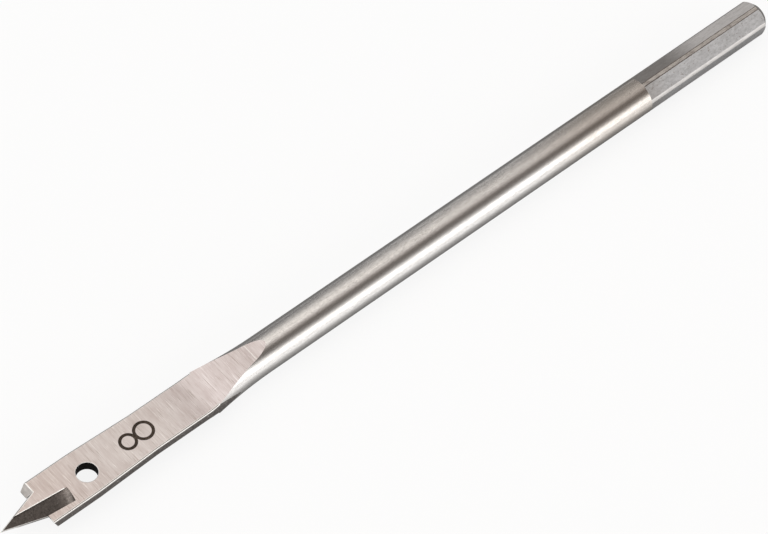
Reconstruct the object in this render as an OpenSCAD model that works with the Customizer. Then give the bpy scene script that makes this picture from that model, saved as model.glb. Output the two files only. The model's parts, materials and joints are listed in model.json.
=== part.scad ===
// Spade drill bit: one bar of tool steel, forged flat at one end into a blade
// with a centre point and two cutting shoulders, and milled to a hexagon at the
// other end. The origin is on the bit's axis at the middle of the drive end.
// +X leaves the drive end, so the point is at -X, and +Z is square to the blade.

/* [Shank] */
// Length from the tip of the centre point to the drive end
overall_len = 152; // [110:1:400]
// Diameter of the round shank
shank_d = 6; // [5.6:0.05:6.8]

/* [Hex drive] */
// Distance across the flats of the hexagon
hex_af = 5.5; // [5.3:0.05:5.8]
// Length of the hexagon
hex_len = 26; // [12:0.5:40]
// Turn of the hexagon about the axis, from having a corner straight above the blade
hex_turn = 6.5; // [-30:0.5:30]
// Width of the bevel round the drive end
end_bevel = 1; // [0.3:0.05:1.4]

/* [Blade] */
// Cutting width of the blade, which is the size of the hole that it bores
blade_w = 8; // [7.6:0.1:12]
// Thickness of the blade
blade_t = 2; // [1.5:0.05:2.2]
// Distance from the tip to the back end of the full cutting width
head_end = 15; // [13:0.5:18]
// Width of the blade's waist, behind the head
waist_w = 7.2; // [6.8:0.1:7.6]
// Distance from the tip to the front end of the waist
waist_start = 26; // [20:0.5:34]

/* [Point and shoulders] */
// Length of the centre point, from its tip to the cutting shoulders
point_len = 6.5; // [5:0.1:8]
// Width of the centre point at its root
point_w = 5; // [4.6:0.1:6]
// Clearance angle ground behind the edges of the point and the shoulders
relief_angle = 22; // [8:1:24]

/* [Rake grooves] */
// Angle in plan between each groove and the axis
groove_turn = 5.5; // [0:0.5:8]
// Distance from the tip to the place where a groove's ridge crosses the axis
ridge_cross = 6.9; // [5.5:0.1:8]
// Distance from the tip to the back end of the groove
groove_end = 11.9; // [9.5:0.1:12.2]
// Depth of the groove at its ridge
ridge_depth = 0.35; // [0.1:0.05:0.5]
// Slope of the groove's floor, down from the ridge to the point's edge
floor_slope = 17; // [8:1:20]
// Radius that the wheel leaves at the back end of the floor
groove_end_r = 1.3; // [0.5:0.1:1.6]
// Angle in plan by which the back end slants away from square
groove_end_slant = 12; // [0:1:14]

/* [Hole] */
// Diameter of the hole through the blade
hole_d = 3.3; // [2:0.1:4]
// Distance from the tip to the middle of the hole
hole_at = 15.4; // [14.6:0.1:22]
// Sideways distance from the axis to the middle of the hole
hole_off = -0.3; // [-0.5:0.1:0.5]

/* [Neck] */
// Distance from the tip to the foot of the forged ramp
ramp_start = 35; // [34.5:0.5:60]
// Radius of the hollow at the foot of the ramp
ramp_foot_r = 14; // [8:1:20]
// Steepest angle of the ramp
ramp_angle = 15; // [13:0.5:16]
// Radius of the crown on the upper part of the ramp
ramp_crown_r = 40; // [34:1:48]
// Angle of the crown at its top end
crown_end_angle = 3; // [2:0.5:4]
// Angle at the foot of the run-out, ground from the crown up to the round shank
run_out_angle = 5; // [4.5:0.5:8]
// Radius of the wheel that leaves the run-out hollow
run_out_r = 28; // [20:1:40]
// Radius of the long flare from the round shank out to the blade
flare_r = 79; // [60:1:120]
// Distance from the foot of the ramp to the end of the flare on the shank
flare_len = 13.5; // [13:0.5:15]

/* [Hidden] */
$fn = 96;
// Overlap that carries cuts clear of the surfaces they leave
clear = 1;
// Half sizes, from the axis
shank_r = shank_d / 2;
blade_z = blade_t / 2;
// Room that holds the whole section of the bit, on each side of the axis
room = max(blade_w, shank_d);
// The point's sides lean by the clearance angle about a line at mid thickness
point_lean = blade_z * tan(relief_angle);
point_half = atan((point_w / 2 - point_lean) / point_len);
// The groove's outer side passes just beyond the root corner of the point
root_margin = 0.05;
ridge_at_root = (ridge_cross - point_len) * tan(groove_turn);
groove_w = (ridge_at_root + point_w / 2) * cos(groove_turn) * cos(floor_slope) + root_margin;
groove_h = blade_t + groove_end_r;
// The crown starts a little flatter than the foot ends, so the two arcs cross
crown_crease = 1;
crown_start_angle = ramp_angle - crown_crease;
// Stations along the ramp: end of foot, middle of crown arc, end of crown, middle
// of run-out arc, end of run-out
foot_end = ramp_start + ramp_foot_r * sin(ramp_angle);
foot_z = blade_z + ramp_foot_r * (1 - cos(ramp_angle));
crown_x = foot_end + ramp_crown_r * sin(crown_start_angle);
crown_z = foot_z - ramp_crown_r * cos(crown_start_angle);
crown_end = crown_x - ramp_crown_r * sin(crown_end_angle);
crown_end_z = crown_z + ramp_crown_r * cos(crown_end_angle);
run_out_x = crown_end - run_out_r * sin(run_out_angle);
run_out_z = crown_end_z + run_out_r * cos(run_out_angle);
run_out_end = run_out_x + sqrt(pow(run_out_r, 2) - pow(run_out_z - shank_r, 2));
// How far each arc is carried past the crossing with the one before it
foot_lap = arc_lap(ramp_angle - crown_start_angle, ramp_foot_r, ramp_crown_r);
run_out_lap = arc_lap(run_out_angle - crown_end_angle, ramp_crown_r, run_out_r);
function arc_lap(angle, r1, r2) = tan(angle) / (1 / r1 + 1 / r2);
flare_end = ramp_start + flare_len;
steel = [0.70, 0.68, 0.66];

// What the hammer presses off one face of the bar, seen from the side: all above
// the flat blade, its hollow foot, the crown of the ramp and the run-out.
module pressed_away() {
    rotate([90, 0, 0]) {
        linear_extrude(height = 2 * room, center = true)
            translate([-clear, blade_z]) square([ramp_start + clear, room]);
        linear_extrude(height = 2 * room, center = true)
            intersection() {
                translate([ramp_start, blade_z + ramp_foot_r]) circle(r = ramp_foot_r);
                translate([ramp_start - clear, 0]) square([foot_end - ramp_start + 2 * clear, room]);
            }
        linear_extrude(height = 2 * room, center = true)
            difference() {
                translate([foot_end - foot_lap, 0]) square([run_out_end - foot_end + foot_lap + clear, room]);
                translate([crown_x, crown_z]) circle(r = ramp_crown_r);
                under_run_out();
            }
    }
}

// The metal left below the run-out, seen from the side.
module under_run_out() {
    difference() {
        translate([crown_end - run_out_lap, 0]) square([run_out_end - crown_end + 2 * clear, 2 * room]);
        translate([run_out_x, run_out_z]) circle(r = run_out_r);
    }
}

// The bit seen from above: full cutting width, taper to the waist, and room for
// the flare and the shank.
module plan_outline() {
    edge = [
        [-clear, blade_w / 2],
        [head_end, blade_w / 2],
        [waist_start, waist_w / 2],
        [flare_end, waist_w / 2],
        [flare_end, room],
        [overall_len + clear, room]
    ];
    other_edge = [for (i = [len(edge) - 1 : -1 : 0]) [edge[i].x, -edge[i].y]];
    linear_extrude(height = 2 * room, center = true)
        polygon(concat(edge, other_edge));
}

// The bar turned about its axis: bevelled end, round shank and long flare.
module turned_bar() {
    rotate([0, 90, 0])
        rotate_extrude() {
            difference() {
                square([room, flare_end]);
                translate([shank_r + flare_r, flare_end]) circle(r = flare_r);
            }
            polygon([
                [0, flare_end],
                [shank_r, flare_end],
                [shank_r, overall_len - end_bevel],
                [shank_r - end_bevel, overall_len],
                [0, overall_len]
            ]);
        }
}

// Six flats over the length of the drive end.
module drive_flats() {
    flats = 6;
    hex_start = overall_len - hex_len;
    rotate([hex_turn, 0, 0]) rotate([0, 90, 0]) {
        translate([0, 0, -clear]) cylinder(r = 2 * room, h = hex_start + clear);
        translate([0, 0, hex_start - clear])
            cylinder(d = hex_af / cos(180 / flats), h = hex_len + 2 * clear, $fn = flats);
    }
}

// What is ground away beside the point and ahead of one shoulder. Both faces
// lean back from an edge on the upper face of the blade.
module shoulder_cut() {
    reach = 4 * room;
    intersection() {
        rotate([0, 0, -point_half])
            rotate([relief_angle, 0, 0])
                translate([-reach / 2, -reach, -reach / 2]) cube(reach);
        translate([point_len, 0, blade_z])
            rotate([0, -relief_angle, 0])
                translate([-reach, -reach / 2, -reach / 2]) cube(reach);
    }
}

// One rake groove, left by a square-edged wheel with a rounded back end. The
// floor falls away from the ridge towards the edge of the point.
module rake_groove() {
    run = (groove_end - ridge_cross) / cos(groove_turn);
    lead_in = 2 * (groove_end + groove_w);
    translate([ridge_cross, 0, blade_z])
        rotate([0, 0, -groove_turn])
            rotate([floor_slope, 0, 0])
                translate([0, 0, -ridge_depth])
                    intersection() {
                        translate([-lead_in, -groove_w, -clear]) cube([2 * lead_in, groove_w, 2 * groove_h]);
                        rotate([90, 0, -groove_end_slant])
                            linear_extrude(height = 2 * lead_in, center = true) {
                                translate([-lead_in, 0]) square([lead_in + run - groove_end_r, groove_h]);
                                translate([-lead_in, groove_end_r]) square([lead_in + run, groove_h - groove_end_r]);
                                translate([run - groove_end_r, groove_end_r]) circle(r = groove_end_r);
                            }
                    }
}

// The bit in one piece. The two cutting sides are alike, half a turn apart.
module spade_bit() {
    color(steel)
        translate([-overall_len, 0, 0])
            difference() {
                intersection() {
                    turned_bar();
                    plan_outline();
                    drive_flats();
                }
                for (half_turn = [0, 180])
                    rotate([half_turn, 0, 0]) {
                        pressed_away();
                        shoulder_cut();
                        rake_groove();
                    }
                translate([hole_at, hole_off, -blade_t]) cylinder(d = hole_d, h = 2 * blade_t);
            }
}

spade_bit();
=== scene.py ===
import json
import math

import bmesh
import bpy
from mathutils import Matrix, Vector


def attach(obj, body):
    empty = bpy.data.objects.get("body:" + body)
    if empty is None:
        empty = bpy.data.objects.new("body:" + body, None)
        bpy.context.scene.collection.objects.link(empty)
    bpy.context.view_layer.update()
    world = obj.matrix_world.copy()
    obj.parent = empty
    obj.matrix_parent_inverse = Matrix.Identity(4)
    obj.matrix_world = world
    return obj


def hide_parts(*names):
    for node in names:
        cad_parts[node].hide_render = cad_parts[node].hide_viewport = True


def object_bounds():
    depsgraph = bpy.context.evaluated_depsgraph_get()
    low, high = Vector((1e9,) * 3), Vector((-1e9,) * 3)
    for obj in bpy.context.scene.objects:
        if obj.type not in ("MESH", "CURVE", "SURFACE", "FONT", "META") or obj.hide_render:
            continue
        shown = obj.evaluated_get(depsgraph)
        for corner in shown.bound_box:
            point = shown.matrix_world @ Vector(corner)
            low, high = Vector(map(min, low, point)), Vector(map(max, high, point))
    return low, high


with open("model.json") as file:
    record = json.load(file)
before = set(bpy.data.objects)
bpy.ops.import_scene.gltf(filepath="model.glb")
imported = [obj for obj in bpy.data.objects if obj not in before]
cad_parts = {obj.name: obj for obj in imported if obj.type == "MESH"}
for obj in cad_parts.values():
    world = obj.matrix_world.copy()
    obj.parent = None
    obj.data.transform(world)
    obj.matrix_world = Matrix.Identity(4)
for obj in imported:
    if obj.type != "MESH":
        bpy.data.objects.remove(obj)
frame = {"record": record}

cad_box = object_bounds()

# The bar. A length of round tool steel, bright drawn, turned to a bevel at the
# drive end and swelling in a long flare towards the end that is hammered flat.
# All shapes are made in millimetres from the tip and brought to the frame last.
MM = 0.001
mounts = {mount["name"]: mount for mount in frame["record"]["mounts"]}
overall = (cad_box[1].x - cad_box[0].x) / MM
shank_r = mounts["shank"]["dims"]["r_mm"]
flare_r = 79.0
flare_end = 48.5
forging_r = 6.0
end_bevel = 1.0
bevel_start = overall - end_bevel
hex_len = 26.0
hex_start = overall - hex_len
rubbed_above = 2.7
clear = 1.0
bar_sides = 120
arc_steps = 28


def noise(nodes, links, where, size, detail, roughness, shift=(0.0, 0.0, 0.0)):
    """Noise with lumps of a size along X, Y and Z, in mm."""
    spread = nodes.new("ShaderNodeMapping")
    spread.inputs["Location"].default_value = shift
    spread.inputs["Scale"].default_value = [1.0 / (length * MM) for length in size]
    links.new(where, spread.inputs["Vector"])
    texture = nodes.new("ShaderNodeTexNoise")
    texture.inputs["Scale"].default_value = 1.0
    texture.inputs["Detail"].default_value = detail
    texture.inputs["Roughness"].default_value = roughness
    links.new(spread.outputs["Vector"], texture.inputs["Vector"])
    return texture.outputs["Fac"]


def laid_over(nodes, links, colour, layer, amount, how):
    """A layer of one colour laid over another, by an amount from 0 to 1."""
    over = nodes.new("ShaderNodeMix")
    over.data_type = "RGBA"
    over.blend_type = how
    over.inputs["B"].default_value = (*layer, 1.0)
    links.new(amount, over.inputs["Factor"])
    links.new(colour, over.inputs["A"])
    return over.outputs["Result"]


def steel_finish(name, bright, dull, rough, mark, mark_depth, patch, specks=(), stains=()):
    """Bare steel under one tool's marks, with a roughness for its bright and for its dull spots.

    A mark, a patch and a speck have a size along X, Y and Z, in mm. Specks are sparse scratches
    or pits: size, share of the noise that is left bare, colour. Stains tint the steel, in full at
    one place along X and fading to nothing at another, in mm from the tip.
    """
    mark_detail = 5.0
    patch_detail = 3.0
    speck_detail = 2.0
    mark_grit = 0.62
    speck_grit = 0.5
    speck_rim = 0.07
    patch_share = 0.45
    dull_at = 0.36
    bright_at = 0.60
    roughest_at = 0.3
    smoothest_at = 0.7
    material = bpy.data.materials.new(name)
    material.use_nodes = True
    nodes = material.node_tree.nodes
    links = material.node_tree.links
    shader = nodes["Principled BSDF"]
    shader.inputs["Metallic"].default_value = 1.0
    where = nodes.new("ShaderNodeTexCoord").outputs["Object"]
    marks = noise(nodes, links, where, mark, mark_detail, mark_grit)
    patches = noise(nodes, links, where, patch, patch_detail, mark_grit)
    blend = nodes.new("ShaderNodeMix")
    blend.inputs["Factor"].default_value = patch_share
    links.new(marks, blend.inputs["A"])
    links.new(patches, blend.inputs["B"])
    tone = nodes.new("ShaderNodeValToRGB")
    tone.color_ramp.elements[0].position = dull_at
    tone.color_ramp.elements[0].color = (*dull, 1.0)
    tone.color_ramp.elements[1].position = bright_at
    tone.color_ramp.elements[1].color = (*bright, 1.0)
    links.new(blend.outputs["Result"], tone.inputs["Fac"])
    colour = tone.outputs["Color"]
    for size, bare, speck_colour in specks:
        shift = (bare, 2.0 * bare, 3.0 * bare)
        sparse = nodes.new("ShaderNodeMapRange")
        sparse.inputs["From Min"].default_value = bare
        sparse.inputs["From Max"].default_value = bare + speck_rim
        speckle = noise(nodes, links, where, size, speck_detail, speck_grit, shift)
        links.new(speckle, sparse.inputs["Value"])
        colour = laid_over(nodes, links, colour, speck_colour, sparse.outputs["Result"], "MIX")
    for full_x, gone_x, tint in stains:
        where_parts = nodes.new("ShaderNodeSeparateXYZ")
        links.new(where, where_parts.inputs["Vector"])
        fade = nodes.new("ShaderNodeMapRange")
        fade.interpolation_type = "SMOOTHSTEP"
        fade.inputs["From Min"].default_value = (full_x - overall) * MM
        fade.inputs["From Max"].default_value = (gone_x - overall) * MM
        fade.inputs["To Min"].default_value = 1.0
        fade.inputs["To Max"].default_value = 0.0
        links.new(where_parts.outputs["X"], fade.inputs["Value"])
        colour = laid_over(nodes, links, colour, tint, fade.outputs["Result"], "MULTIPLY")
    links.new(colour, shader.inputs["Base Color"])
    polish = nodes.new("ShaderNodeMapRange")
    polish.inputs["From Min"].default_value = roughest_at
    polish.inputs["From Max"].default_value = smoothest_at
    polish.inputs["To Min"].default_value = rough[1]
    polish.inputs["To Max"].default_value = rough[0]
    links.new(blend.outputs["Result"], polish.inputs["Value"])
    links.new(polish.outputs["Result"], shader.inputs["Roughness"])
    scratches = nodes.new("ShaderNodeBump")
    scratches.inputs["Strength"].default_value = 1.0
    scratches.inputs["Distance"].default_value = mark_depth * MM
    links.new(marks, scratches.inputs["Height"])
    links.new(scratches.outputs["Normal"], shader.inputs["Normal"])
    return material


def solid(name, points, faces, finish):
    """A closed mesh with one finish."""
    mesh = bpy.data.meshes.new(name)
    mesh.from_pydata(points, [], faces)
    skin = bmesh.new()
    skin.from_mesh(mesh)
    bmesh.ops.recalc_face_normals(skin, faces=skin.faces)
    skin.to_mesh(mesh)
    skin.free()
    mesh.materials.append(finish)
    made = bpy.data.objects.new(name, mesh)
    bpy.context.scene.collection.objects.link(made)
    return made


def add_finish(piece, finish):
    """One more finish on a piece, and its number for the faces that take it."""
    piece.data.materials.append(finish)
    return len(piece.data.materials) - 1


def arc(centre, radius, start, end):
    """Points of an arc in a plane, by angles in degrees."""
    points = []
    for i in range(arc_steps + 1):
        turn = math.radians(start + (end - start) * i / arc_steps)
        points.append((centre[0] + radius * math.cos(turn), centre[1] + radius * math.sin(turn)))
    return points


def turned(name, profile, sides, finish):
    """A solid of revolution about X, from (x, radius) points in order along X."""
    points = []
    for x, radius in profile:
        for i in range(sides):
            turn = 2.0 * math.pi * (i + 0.5) / sides
            points.append((x, radius * math.cos(turn), radius * math.sin(turn)))
    faces = [list(range(sides))]
    for ring in range(len(profile) - 1):
        for i in range(sides):
            here = ring * sides + i
            beside = ring * sides + (i + 1) % sides
            faces.append([here, beside, beside + sides, here + sides])
    faces.append([(len(profile) - 1) * sides + i for i in range(sides)])
    return solid(name, points, faces, finish)


drawn_steel = steel_finish(
    "drawn_steel",
    bright=(0.80, 0.78, 0.76),
    dull=(0.66, 0.64, 0.62),
    rough=(0.15, 0.25),
    mark=(0.45, 0.16, 0.16),
    mark_depth=0.009,
    patch=(1.6, 0.5, 0.5),
    specks=[
        ((0.30, 0.12, 0.12), 0.65, (0.48, 0.45, 0.43)),
        ((3.0, 0.10, 0.10), 0.64, (0.88, 0.86, 0.84)),
    ],
    stains=[(119.0, 97.0, (0.86, 0.82, 0.78))],
)
rubbed_corner = steel_finish(
    "rubbed_corner",
    bright=(0.54, 0.51, 0.48),
    dull=(0.28, 0.25, 0.23),
    rough=(0.36, 0.52),
    mark=(0.6, 0.2, 0.2),
    mark_depth=0.006,
    patch=(1.5, 0.5, 0.5),
)
gripped_corner = steel_finish(
    "gripped_corner",
    bright=(0.71, 0.69, 0.67),
    dull=(0.56, 0.54, 0.52),
    rough=(0.26, 0.38),
    mark=(1.2, 0.2, 0.2),
    mark_depth=0.004,
    patch=(1.5, 0.5, 0.5),
)
flare_lean = math.degrees(math.acos((flare_r + shank_r - forging_r) / flare_r))
bar_profile = [(-clear, forging_r)]
bar_profile += arc((flare_end, shank_r + flare_r), flare_r, -90.0 - flare_lean, -90.0)
bar_profile += [(hex_start, shank_r), (bevel_start, shank_r), (overall, shank_r - end_bevel)]
bit = turned("bit", bar_profile, bar_sides, drawn_steel)
rubbed = add_finish(bit, rubbed_corner)
gripped = add_finish(bit, gripped_corner)
for face in bit.data.polygons:
    if hex_start < face.center.x < bevel_start:
        face.material_index = rubbed if abs(face.center.z) > rubbed_above else gripped

# The blade. The end of the bar is hammered flat between dies, which leaves a
# hollow foot, a crowned ramp and a short hollow run-out at the neck. Both faces
# are ground across, and the sides are trimmed in a line that runs out on the flare.
blade_w = (cad_box[1].y - cad_box[0].y) / MM
blade_t = mounts["hole"]["dims"]["length_mm"]
blade_z = blade_t / 2.0
head_end = 15.0
waist_w = 7.2
waist_start = 26.0
waist_end = 36.5
trim_end = 45.0
trim_off_shank = 0.09
ramp_start = 35.0
ramp_foot_r = 14.0
ramp_angle = 15.0
crown_start = 14.0
crown_end = 3.0
ramp_crown_r = 40.0
run_out_start = 5.0
run_out_r = 28.0
run_out_over_shank = 0.1
room = 9.0
prism_ends = 2


def prism(name, outline, place, finish):
    """A straight prism, whose first two faces are its ends and the rest follow its outline.

    The function place puts a point of the outline at one end (-1) or at the other (1).
    """
    count = len(outline)
    points = [place(a, b, side) for side in (-1, 1) for a, b in outline]
    faces = [list(range(count)), list(range(count, 2 * count))]
    for i in range(count):
        after = (i + 1) % count
        faces.append([i, after, after + count, i + count])
    return solid(name, points, faces, finish)


def work(piece, tool, how):
    """One step of the making: the tool's shape is cut out of the piece, or all but it is."""
    step = piece.modifiers.new("step", "BOOLEAN")
    step.operation = how
    step.solver = "EXACT"
    step.material_mode = "TRANSFER"
    step.object = tool
    bpy.context.view_layer.update()
    done = piece.evaluated_get(bpy.context.evaluated_depsgraph_get())
    shaped = bpy.data.meshes.new_from_object(done)
    piece.modifiers.clear()
    piece.data = shaped
    bpy.data.objects.remove(tool)


def run_and_rise(angle, radius):
    """Run and rise from an arc's centre to its place with a slope, in degrees."""
    return radius * math.sin(math.radians(angle)), radius * math.cos(math.radians(angle))


ground_face = steel_finish(
    "ground_face",
    bright=(0.69, 0.64, 0.62),
    dull=(0.58, 0.51, 0.485),
    rough=(0.26, 0.40),
    mark=(0.10, 5.0, 5.0),
    mark_depth=0.004,
    patch=(1.2, 3.5, 3.5),
    specks=[
        ((0.09, 4.0, 4.0), 0.63, (0.40, 0.35, 0.31)),
        ((0.08, 3.0, 3.0), 0.63, (0.86, 0.82, 0.80)),
    ],
    stains=[(8.0, 20.0, (0.96, 0.92, 0.90)), (37.0, 27.0, (0.925, 0.91, 0.925))],
)
# The trimmed sides are coloured far darker than bare steel: painted shade that stands in for the dim
# floor close under the blade, which they mirror.
trimmed_side = steel_finish(
    "trimmed_side",
    bright=(0.26, 0.235, 0.22),
    dull=(0.14, 0.125, 0.115),
    rough=(0.34, 0.52),
    mark=(0.25, 0.25, 1.2),
    mark_depth=0.012,
    patch=(0.9, 0.5, 0.5),
    specks=[((0.45, 0.3, 0.3), 0.60, (0.46, 0.43, 0.41))],
)
# Pale bare steel for worn edges, which also serves as a painted highlight on a strip at the crest of
# the ramp.
worn_edge = steel_finish(
    "worn_edge",
    bright=(0.84, 0.82, 0.80),
    dull=(0.70, 0.67, 0.64),
    rough=(0.20, 0.32),
    mark=(0.3, 0.3, 0.3),
    mark_depth=0.002,
    patch=(1.0, 1.0, 1.0),
)
plan = [(-clear, blade_w / 2.0), (head_end, blade_w / 2.0)]
plan += [(waist_start, waist_w / 2.0), (waist_end, waist_w / 2.0)]
plan += [(trim_end, shank_r + trim_off_shank), (trim_end, room), (overall + clear, room)]
plan += [(x, -y) for x, y in reversed(plan)]
blank = prism("blank", plan, lambda x, y, side: (x, y, side * room), trimmed_side)
work(bit, blank, "INTERSECT")
foot_run, foot_rise = run_and_rise(ramp_angle, ramp_foot_r)
foot_end = (ramp_start + foot_run, blade_z + ramp_foot_r - foot_rise)
crown_run, crown_rise = run_and_rise(crown_start, ramp_crown_r)
crown_centre = (foot_end[0] + crown_run, foot_end[1] - crown_rise)
crest_run, crest_rise = run_and_rise(crown_end, ramp_crown_r)
crest = (crown_centre[0] - crest_run, crown_centre[1] + crest_rise)
out_run, out_rise = run_and_rise(run_out_start, run_out_r)
run_out_centre = (crest[0] - out_run, crest[1] + out_rise)
run_out_drop = run_out_centre[1] - shank_r - run_out_over_shank
run_out_top = math.degrees(math.asin(run_out_drop / run_out_r))
side_view = [(-clear, blade_z)]
side_view += arc((ramp_start, blade_z + ramp_foot_r), ramp_foot_r, -90.0, -90.0 + ramp_angle)
side_view += arc(crown_centre, ramp_crown_r, 90.0 + crown_start, 90.0 + crown_end)[1:]
crest_at = len(side_view) - 1
side_view += arc(run_out_centre, run_out_r, -90.0 + run_out_start, -run_out_top)[1:]
side_view += [(side_view[-1][0], room), (-clear, room)]
for way_up in (1, -1):
    die = prism("die", side_view, lambda x, z, side: (x, side * room, way_up * z), ground_face)
    # The strip just past the crest of the ramp takes the pale steel of worn edges: a painted highlight
    # along the crest.
    die.data.polygons[prism_ends + crest_at].material_index = add_finish(die, worn_edge)
    work(bit, die, "DIFFERENCE")

# The drive end. Six flats are milled over the last stretch of the bar, and their
# corners keep the bar's own round, so the hexagon sits inside the shank. Two
# opposite flats are rubbed paler than the rest and are stained dark by the step.
flats = 6
hex_af = 5.5
hex_turn = 6.5
stained_flats = (2, 5)
milled_flat = steel_finish(
    "milled_flat",
    bright=(0.61, 0.605, 0.61),
    dull=(0.45, 0.445, 0.445),
    rough=(0.48, 0.62),
    mark=(0.5, 0.3, 0.3),
    mark_depth=0.008,
    patch=(2.5, 0.8, 0.8),
    specks=[((0.35, 0.25, 0.25), 0.63, (0.34, 0.31, 0.29))],
    stains=[(126.5, 131.0, (0.86, 0.84, 0.82))],
)
stained_flat = steel_finish(
    "stained_flat",
    bright=(0.82, 0.80, 0.795),
    dull=(0.65, 0.63, 0.62),
    rough=(0.40, 0.56),
    mark=(0.8, 0.25, 0.25),
    mark_depth=0.006,
    patch=(2.0, 0.6, 0.6),
    stains=[(131.5, 140.5, (0.45, 0.44, 0.43))],
)
mill_points = []
for x in (hex_start, overall + clear):
    for radius in (hex_af / 2.0 / math.cos(math.pi / flats), room):
        for corner in range(flats):
            turn = math.pi * (2.0 * corner / flats + 0.5) + math.radians(hex_turn)
            mill_points.append((x, radius * math.cos(turn), radius * math.sin(turn)))
flat_rings = (0, 2)
mill_rings = ((0, 1), (2, 3), flat_rings, (1, 3))
mill_faces = []
for corner in range(flats):
    after = (corner + 1) % flats
    for one, other in mill_rings:
        near_edge = [one * flats + corner, one * flats + after]
        far_edge = [other * flats + after, other * flats + corner]
        mill_faces.append(near_edge + far_edge)
mill = solid("mill", mill_points, mill_faces, milled_flat)
stained = add_finish(mill, stained_flat)
for corner in stained_flats:
    flat_face = corner * len(mill_rings) + mill_rings.index(flat_rings)
    mill.data.polygons[flat_face].material_index = stained
work(bit, mill, "DIFFERENCE")

# The centre point and the two cutting shoulders. Both are ground with clearance
# behind their edges, half a turn apart, so that they cut with a right-hand turn.
point_len = 6.5
point_w = 5.0
relief = 22.0
reach = 32.0
relief_ground = steel_finish(
    "relief_ground",
    bright=(0.60, 0.56, 0.53),
    dull=(0.42, 0.395, 0.37),
    rough=(0.28, 0.42),
    mark=(1.5, 1.5, 0.10),
    mark_depth=0.006,
    patch=(0.8, 0.8, 0.8),
)


def block(name, low, high, carry, finish):
    """A box between two corners, carried by a matrix. Its first two faces are its ends along X."""
    (x0, y0, z0), (x1, y1, z1) = low, high
    corners = [(x, y, z) for x in (x0, x1) for y in (y0, y1) for z in (z0, z1)]
    sides = [(0, 1, 3, 2), (4, 6, 7, 5), (0, 4, 5, 1), (2, 3, 7, 6), (0, 2, 6, 4), (1, 5, 7, 3)]
    return solid(name, [carry @ Vector(corner) for corner in corners], sides, finish)


def spin(degrees, axis):
    """A turn about one axis."""
    return Matrix.Rotation(math.radians(degrees), 4, axis)


point_lean = blade_z * math.tan(math.radians(relief))
point_half = math.degrees(math.atan((point_w / 2.0 - point_lean) / point_len))
for half_turn in (0.0, 180.0):
    rolled = spin(half_turn, "X")
    flank_place = rolled @ spin(-point_half, "Z") @ spin(relief, "X")
    flank = block("flank", (-reach, -reach, -reach), (reach, 0.0, reach), flank_place, relief_ground)
    edge_place = rolled @ Matrix.Translation((point_len, 0.0, blade_z)) @ spin(-relief, "Y")
    behind = block("behind", (-reach, -reach, -reach), (0.0, reach, reach), edge_place, relief_ground)
    work(flank, behind, "INTERSECT")
    work(bit, flank, "DIFFERENCE")

# The rake grooves. A square-edged wheel is run in from the tip on each face, at a
# slight turn to the axis. It leaves a ridge along the middle of the point, rubbed
# bright, a floor that falls to the point's edge, and a round where the wheel stopped.
groove_turn = 5.5
ridge_cross = 6.9
groove_end = 11.9
ridge_depth = 0.35
floor_slope = 17.0
groove_end_r = 1.3
groove_end_slant = 12.0
root_margin = 0.05
ridge_wear = 0.11
rub_size = 3.0 * ridge_wear
rub_short = 2.0 * ridge_wear
block_back_end = 1
groove_floor = steel_finish(
    "groove_floor",
    bright=(0.43, 0.38, 0.35),
    dull=(0.22, 0.195, 0.18),
    rough=(0.38, 0.55),
    mark=(0.14, 0.5, 0.5),
    mark_depth=0.010,
    patch=(0.35, 0.35, 0.35),
    specks=[
        ((0.20, 0.20, 0.20), 0.58, (0.22, 0.195, 0.175)),
        ((0.24, 0.24, 0.24), 0.64, (0.62, 0.58, 0.55)),
    ],
    stains=[(8.5, 12.8, (0.36, 0.355, 0.35))],
)
turn = math.radians(groove_turn)
slope = math.radians(floor_slope)
ridge_at_root = (ridge_cross - point_len) * math.tan(turn)
groove_w = (ridge_at_root + point_w / 2.0) * (math.cos(turn) * math.cos(slope)) + root_margin
groove_run = (groove_end - ridge_cross) / math.cos(turn)
groove_h = blade_t + groove_end_r
wheel_stop = (groove_run - groove_end_r, groove_end_r)
ridge_end = wheel_stop[0] + math.sqrt(groove_end_r ** 2 - (groove_end_r - ridge_depth) ** 2)
wear_lean = math.degrees(math.atan2(math.cos(slope), 1.0 - math.sin(slope)))
rub_low = (-reach, -rub_size, 0.0)
rub_high = (ridge_end - rub_short, rub_size, rub_size)
width_low = (-2.0 * reach, -groove_w, -clear)
width_high = (reach, 0.0, 2.0 * groove_h)
wheel_path = [(-reach, 0.0)]
wheel_path += arc(wheel_stop, groove_end_r, -90.0, 0.0)
wheel_path += [(groove_run, groove_h), (-reach, groove_h)]
for half_turn in (0.0, 180.0):
    ridge_place = spin(half_turn, "X") @ Matrix.Translation((ridge_cross, 0.0, blade_z))
    ridge_place = ridge_place @ spin(-groove_turn, "Z")
    floor_place = ridge_place @ spin(floor_slope, "X") @ Matrix.Translation((0.0, 0.0, -ridge_depth))
    slant_place = floor_place @ spin(-groove_end_slant, "Z")
    wheel = prism(
        "wheel",
        wheel_path,
        lambda x, z, side: slant_place @ Vector((x, side * reach, z)),
        groove_floor,
    )
    width = block("width", width_low, width_high, floor_place, groove_floor)
    work(wheel, width, "INTERSECT")
    work(bit, wheel, "DIFFERENCE")
    rub_place = ridge_place @ Matrix.Translation((0.0, ridge_wear, 0.0)) @ spin(wear_lean, "X")
    rub = block("rub", rub_low, rub_high, rub_place, worn_edge)
    rub.data.polygons[block_back_end].material_index = add_finish(rub, groove_floor)
    work(bit, rub, "DIFFERENCE")
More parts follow.
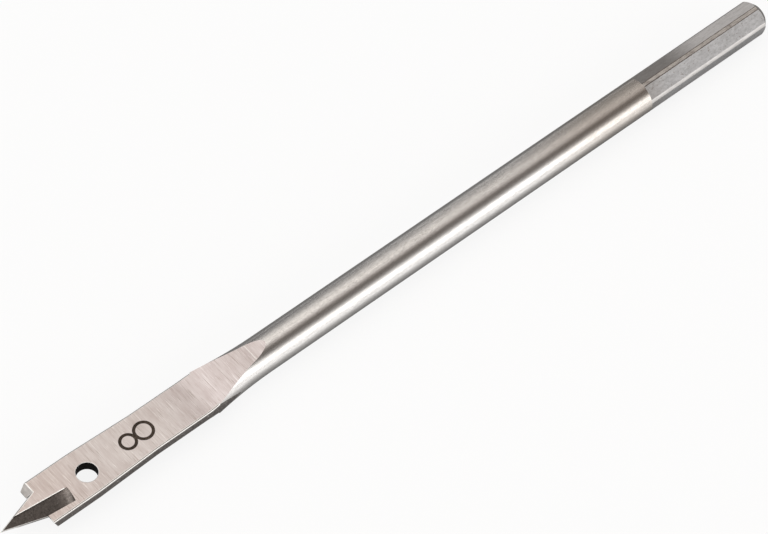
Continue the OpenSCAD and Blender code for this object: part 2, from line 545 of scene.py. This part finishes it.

# The hole through the blade, which takes a hook or a wire. It is drilled straight
# through, a little to one side of the axis. Its wall is left rough, and its near
# black colour is painted shade for the inside of the hole.
hole_r = mounts["hole"]["dims"]["r_mm"]
hole_x = mounts["hole"]["pos_m"][0] / MM + overall
hole_y = mounts["hole"]["pos_m"][1] / MM
hole_sides = 72
drilled_wall = steel_finish(
    "drilled_wall",
    bright=(0.035, 0.033, 0.032),
    dull=(0.012, 0.011, 0.010),
    rough=(0.45, 0.60),
    mark=(0.6, 0.6, 0.08),
    mark_depth=0.010,
    patch=(0.6, 0.6, 0.6),
)
rim = [2.0 * math.pi * i / hole_sides for i in range(hole_sides)]
circle = [(hole_x + hole_r * math.cos(turn), hole_y + hole_r * math.sin(turn)) for turn in rim]
drill = prism("drill", circle, lambda x, y, side: (x, y, side * blade_t), drilled_wall)
work(bit, drill, "DIFFERENCE")

# Worn edges. Most edges that a tool left are broken by use and show as thin
# bright lines of bare steel. Along the flats of the hexagon the lines are grimy.
edge_widths = {
    ("ground_face", "trimmed_side"): 0.28,
    ("ground_face", "relief_ground"): 0.14,
    ("relief_ground", "trimmed_side"): 0.06,
    ("groove_floor", "relief_ground"): 0.08,
    ("drilled_wall", "ground_face"): 0.10,
    ("milled_flat", "rubbed_corner"): 0.07,
    ("rubbed_corner", "stained_flat"): 0.06,
}
edge_angle = 13.0
edge_steps = 2
grime_start = hex_start - 0.1
grime_end = bevel_start - 0.2
grime = steel_finish(
    "grime",
    bright=(0.20, 0.17, 0.15),
    dull=(0.06, 0.05, 0.045),
    rough=(0.50, 0.65),
    mark=(0.5, 0.2, 0.2),
    mark_depth=0.004,
    patch=(1.5, 0.5, 0.5),
)
grimy = add_finish(bit, grime)
finishes = [finish.name for finish in bit.data.materials]
bright_edge = finishes.index("worn_edge")
for face in bit.data.polygons:
    face.use_smooth = True
bit.data.set_sharp_from_angle(angle=math.radians(edge_angle))
weights = bit.data.attributes.new("bevel_weight_edge", "FLOAT", "EDGE")
widest = max(edge_widths.values())
shape = bmesh.new()
shape.from_mesh(bit.data)
for edge in shape.edges:
    pair = tuple(sorted(finishes[face.material_index] for face in edge.link_faces))
    bend = math.degrees(edge.calc_face_angle())
    if pair[0] != pair[1]:
        bit.data.edges[edge.index].use_edge_sharp = True
    if bend > edge_angle and pair in edge_widths:
        weights.data[edge.index].value = edge_widths[pair] / widest
shape.free()
wear = bit.modifiers.new("wear", "BEVEL")
wear.width = widest
wear.segments = edge_steps
wear.limit_method = "WEIGHT"
wear.harden_normals = True
wear.use_clamp_overlap = False
wear.loop_slide = False
wear.material = bright_edge
bpy.context.view_layer.update()
worn = bpy.data.meshes.new_from_object(bit.evaluated_get(bpy.context.evaluated_depsgraph_get()))
bit.modifiers.clear()
bit.data = worn
for face in bit.data.polygons:
    if face.material_index == bright_edge and grime_start < face.center.x < grime_end:
        face.material_index = grimy

# The size number, stamped cold into the upper face as two plain rings. The punch
# leaves a round-bottomed groove, dark with old oil and scale.
stroke = 0.50
stamp_depth = 0.16
rings = (((26.2, 0.1), 1.44), ((23.25, 0.0), 1.22))
stamp_dark = steel_finish(
    "stamp_dark",
    bright=(0.13, 0.10, 0.08),
    dull=(0.03, 0.024, 0.019),
    rough=(0.50, 0.70),
    mark=(0.12, 0.12, 0.12),
    mark_depth=0.010,
    patch=(0.5, 0.5, 0.5),
)
tube_r = (stroke * stroke / 4.0 + stamp_depth * stamp_depth) / (2.0 * stamp_depth)
tube_z = blade_z + tube_r - stamp_depth
tube_sides = 20
ring_steps = 72
for (ring_x, ring_y), ring_r in rings:
    punch_points = []
    for i in range(ring_steps):
        turn = 2.0 * math.pi * i / ring_steps
        for k in range(tube_sides):
            tilt = 2.0 * math.pi * k / tube_sides
            out = ring_r + tube_r * math.cos(tilt)
            height = tube_z + tube_r * math.sin(tilt)
            punch_points.append((ring_x + out * math.cos(turn), ring_y + out * math.sin(turn), height))
    punch_faces = []
    for i in range(ring_steps):
        for k in range(tube_sides):
            beside = (k + 1) % tube_sides
            here = i * tube_sides
            onward = (i + 1) % ring_steps * tube_sides
            punch_faces.append([here + k, onward + k, onward + beside, here + beside])
    punch = solid("punch", punch_points, punch_faces, stamp_dark)
    work(bit, punch, "DIFFERENCE")

# The finished bit, all one piece of steel. It is brought from millimetres at the
# tip to metres in the frame, where it stands for the only solid of the CAD.
bit.data.transform(Matrix.Translation((-overall * MM, 0.0, 0.0)) @ Matrix.Scale(MM, 4))
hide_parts("spade_bit")
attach(bit, "root")

# The table. A wide white sheet under the bit, which lies on its shank. It is lit
# by the studio and evened out to white where it is seen. As the bit mirrors it,
# it has painted shade close by, which stands in for the bit's own shade, and
# painted light further out: brighter than white on the near side, greyer on the
# far side and white past the tip.
table_half_m = 40.0
table_white = 0.95
white_share = 0.86
shade = 0.12
# The ends of the painted shade: the axis across each, where the sheet is dim, where
# it is pale, in mm in the frame, and how pale it is there.
near_end = ("Y", -1.5, -15.5, 1.25)
far_end = ("Y", 8.0, 220.0, 0.75)
tip_end = ("X", 5.5 - overall, 1.5 - overall, 1.0)
table_corners = []
for x, y in ((-1, -1), (1, -1), (1, 1), (-1, 1)):
    table_corners.append((x * table_half_m, y * table_half_m, cad_box[0].z))
table_mesh = bpy.data.meshes.new("table")
table_mesh.from_pydata(table_corners, [], [(0, 1, 2, 3)])
table = bpy.data.objects.new("table", table_mesh)
bpy.context.scene.collection.objects.link(table)
white_sheet = bpy.data.materials.new("white_sheet")
white_sheet.use_nodes = True
sheet_nodes = white_sheet.node_tree.nodes
sheet_links = white_sheet.node_tree.links
sheet_nodes.clear()


def larger(one, other):
    """The larger of two values, in the table's nodes."""
    choice = sheet_nodes.new("ShaderNodeMath")
    choice.operation = "MAXIMUM"
    sheet_links.new(one, choice.inputs[0])
    sheet_links.new(other, choice.inputs[1])
    return choice.outputs["Value"]


sheet = sheet_nodes.new("ShaderNodeBsdfDiffuse")
sheet.inputs["Color"].default_value = (table_white, table_white, table_white, 1.0)
seen = sheet_nodes.new("ShaderNodeLightPath")
mirrored = larger(seen.outputs["Is Glossy Ray"], seen.outputs["Is Transmission Ray"])
share = sheet_nodes.new("ShaderNodeMath")
share.operation = "MULTIPLY"
share.inputs[1].default_value = white_share
sheet_links.new(larger(seen.outputs["Is Camera Ray"], mirrored), share.inputs[0])
spot = sheet_nodes.new("ShaderNodeNewGeometry")
spot_parts = sheet_nodes.new("ShaderNodeSeparateXYZ")
sheet_links.new(spot.outputs["Position"], spot_parts.inputs["Vector"])
rises = []
for axis, dim_at, pale_at, palest in (near_end, far_end, tip_end):
    rise = sheet_nodes.new("ShaderNodeMapRange")
    rise.interpolation_type = "SMOOTHSTEP"
    rise.inputs["From Min"].default_value = dim_at * MM
    rise.inputs["From Max"].default_value = pale_at * MM
    rise.inputs["To Min"].default_value = shade
    rise.inputs["To Max"].default_value = palest
    sheet_links.new(spot_parts.outputs[axis], rise.inputs["Value"])
    rises.append(rise.outputs["Result"])
evened = sheet_nodes.new("ShaderNodeMix")
evened.inputs["B"].default_value = 1.0
sheet_links.new(seen.outputs["Is Camera Ray"], evened.inputs["Factor"])
sheet_links.new(larger(larger(rises[0], rises[1]), rises[2]), evened.inputs["A"])
glow = sheet_nodes.new("ShaderNodeEmission")
sheet_links.new(evened.outputs["Result"], glow.inputs["Strength"])
both = sheet_nodes.new("ShaderNodeMixShader")
sheet_links.new(share.outputs["Value"], both.inputs["Fac"])
sheet_links.new(sheet.outputs["BSDF"], both.inputs[1])
sheet_links.new(glow.outputs["Emission"], both.inputs[2])
sheet_out = sheet_nodes.new("ShaderNodeOutputMaterial")
sheet_links.new(both.outputs["Shader"], sheet_out.inputs["Surface"])
table_mesh.materials.append(white_sheet)

# The studio round the table, as the bit mirrors it: a white card along the near
# edge, the dark side of the room above it, a warm ceiling and a grey far wall.
# Along the bit it has two ends that are alike, a middle, a window and a corner.
row_angle = 0
ends = 1
middle = 2
by_window = 3
dark_corner = 4
# A row for each angle from straight up, positive towards the near edge, with the
# tones there at the ends, in the middle, by the window and in the dark corner.
studio_tones = (
    (-100.0, (0.50, 0.49, 0.49), (0.11, 0.105, 0.105), (0.45, 0.44, 0.43), (0.22, 0.21, 0.205)),
    (-78.0, (0.62, 0.61, 0.60), (0.15, 0.147, 0.147), (0.92, 0.90, 0.88), (0.22, 0.21, 0.205)),
    (-60.0, (0.95, 0.94, 0.93), (0.36, 0.35, 0.345), (0.88, 0.85, 0.83), (0.20, 0.19, 0.183)),
    (-42.0, (1.35, 1.33, 1.30), (0.85, 0.82, 0.79), (0.80, 0.77, 0.74), (0.24, 0.226, 0.213)),
    (-24.0, (1.45, 1.42, 1.39), (1.22, 1.17, 1.12), (0.71, 0.67, 0.64), (0.375, 0.352, 0.33)),
    (-8.0, (1.30, 1.27, 1.24), (1.22, 1.17, 1.12), (0.61, 0.57, 0.54), (0.485, 0.455, 0.435)),
    (6.0, (0.85, 0.83, 0.81), (0.68, 0.63, 0.60), (0.42, 0.385, 0.365), (0.385, 0.35, 0.335)),
    (18.0, (0.48, 0.46, 0.45), (0.185, 0.165, 0.15), (0.19, 0.165, 0.15), (0.185, 0.162, 0.148)),
    (32.0, (0.42, 0.40, 0.39), (0.145, 0.128, 0.118), (0.16, 0.142, 0.13), (0.20, 0.18, 0.167)),
    (46.0, (0.70, 0.68, 0.67), (0.285, 0.265, 0.25), (0.33, 0.31, 0.295), (0.43, 0.41, 0.395)),
    (56.0, (1.30, 1.28, 1.26), (0.75, 0.73, 0.71), (0.72, 0.70, 0.68), (1.02, 1.00, 0.98)),
    (64.0, (1.70, 1.68, 1.66), (1.64, 1.60, 1.56), (1.64, 1.60, 1.56), (1.90, 1.94, 1.99)),
    (92.0, (1.70, 1.68, 1.66), (1.64, 1.60, 1.56), (1.64, 1.60, 1.56), (1.90, 1.94, 1.99)),
)
# The stretches of the room from the tip's end on, and between each two the share
# of X in a direction where the one starts to give way and where it is gone.
stretches = (ends, middle, by_window, dark_corner, ends)
crossings = ((-0.15, 0.15), (0.395, 0.44), (0.45, 0.466), (0.57, 0.68))
full_turn = 360.0
straight_up = 0.5
studio = bpy.data.worlds.new("studio")
bpy.context.scene.world = studio
studio.use_nodes = True
studio_nodes = studio.node_tree.nodes
studio_links = studio.node_tree.links
surround = studio_nodes["Background"]
way = studio_nodes.new("ShaderNodeTexCoord")
way_parts = studio_nodes.new("ShaderNodeSeparateXYZ")
studio_links.new(way.outputs["Generated"], way_parts.inputs["Vector"])
nearward = studio_nodes.new("ShaderNodeMath")
nearward.operation = "MULTIPLY"
nearward.inputs[1].default_value = -1.0
studio_links.new(way_parts.outputs["Y"], nearward.inputs[0])
lean = studio_nodes.new("ShaderNodeMath")
lean.operation = "ARCTAN2"
studio_links.new(nearward.outputs["Value"], lean.inputs[0])
studio_links.new(way_parts.outputs["Z"], lean.inputs[1])
turn_share = studio_nodes.new("ShaderNodeMapRange")
turn_share.inputs["From Min"].default_value = -math.pi
turn_share.inputs["From Max"].default_value = math.pi
studio_links.new(lean.outputs["Value"], turn_share.inputs["Value"])


def band_of(stretch):
    """The tones of one stretch of the studio, all the way round the bit's axis."""
    band = studio_nodes.new("ShaderNodeValToRGB")
    band_tones = band.color_ramp.elements
    while len(band_tones) < len(studio_tones):
        band_tones.new(straight_up)
    for band_tone, row in zip(band_tones, studio_tones):
        band_tone.position = row[row_angle] / full_turn + straight_up
        band_tone.color = (*row[stretch], 1.0)
    studio_links.new(turn_share.outputs["Result"], band.inputs["Fac"])
    return band.outputs["Color"]


studio_tone = band_of(stretches[0])
for stretch, (gives_way, gone) in zip(stretches[1:], crossings):
    crossing = studio_nodes.new("ShaderNodeMapRange")
    crossing.interpolation_type = "SMOOTHSTEP"
    crossing.inputs["From Min"].default_value = gives_way
    crossing.inputs["From Max"].default_value = gone
    studio_links.new(way_parts.outputs["X"], crossing.inputs["Value"])
    joined = studio_nodes.new("ShaderNodeMix")
    joined.data_type = "RGBA"
    studio_links.new(crossing.outputs["Result"], joined.inputs["Factor"])
    studio_links.new(studio_tone, joined.inputs["A"])
    studio_links.new(band_of(stretch), joined.inputs["B"])
    studio_tone = joined.outputs["Result"]
studio_links.new(studio_tone, surround.inputs["Color"])

# The camera. A long lens above the near side of the tip, placed by where the tip
# stands in the 768 by 534 picture and how far off it is.
picture_w = 768
picture_h = 534
focal_px = 3603.0
pitch = math.radians(55.618)
swing = math.radians(46.457)
roll = math.radians(6.604)
tip_px = (0.840, 532.294)
tip_off_m = 0.5150
sensor_mm = 36.0
plumb = Vector((0.0, 0.0, 1.0))
level = Vector((math.cos(swing), -math.sin(swing), 0.0))
ahead = Vector((math.sin(swing), math.cos(swing), 0.0))
forward = math.cos(pitch) * ahead - math.sin(pitch) * plumb
upward = math.sin(pitch) * ahead + math.cos(pitch) * plumb
right = math.cos(roll) * level + math.sin(roll) * upward
top = math.cos(roll) * upward - math.sin(roll) * level
tip_right = (tip_px[0] - picture_w / 2.0) / focal_px * tip_off_m
tip_up = (picture_h / 2.0 - tip_px[1]) / focal_px * tip_off_m
stand = Vector((cad_box[0].x, 0.0, 0.0)) - tip_right * right - tip_up * top - tip_off_m * forward
lens = bpy.data.cameras.new("camera")
lens.sensor_width = sensor_mm
lens.lens = focal_px / picture_w * sensor_mm
camera = bpy.data.objects.new("camera", lens)
bpy.context.scene.collection.objects.link(camera)
camera.matrix_world = Matrix((
    (right.x, top.x, -forward.x, stand.x),
    (right.y, top.y, -forward.y, stand.y),
    (right.z, top.z, -forward.z, stand.z),
    (0.0, 0.0, 0.0, 1.0),
))
bpy.context.scene.camera = camera
bpy.context.scene.view_settings.view_transform = "Standard"
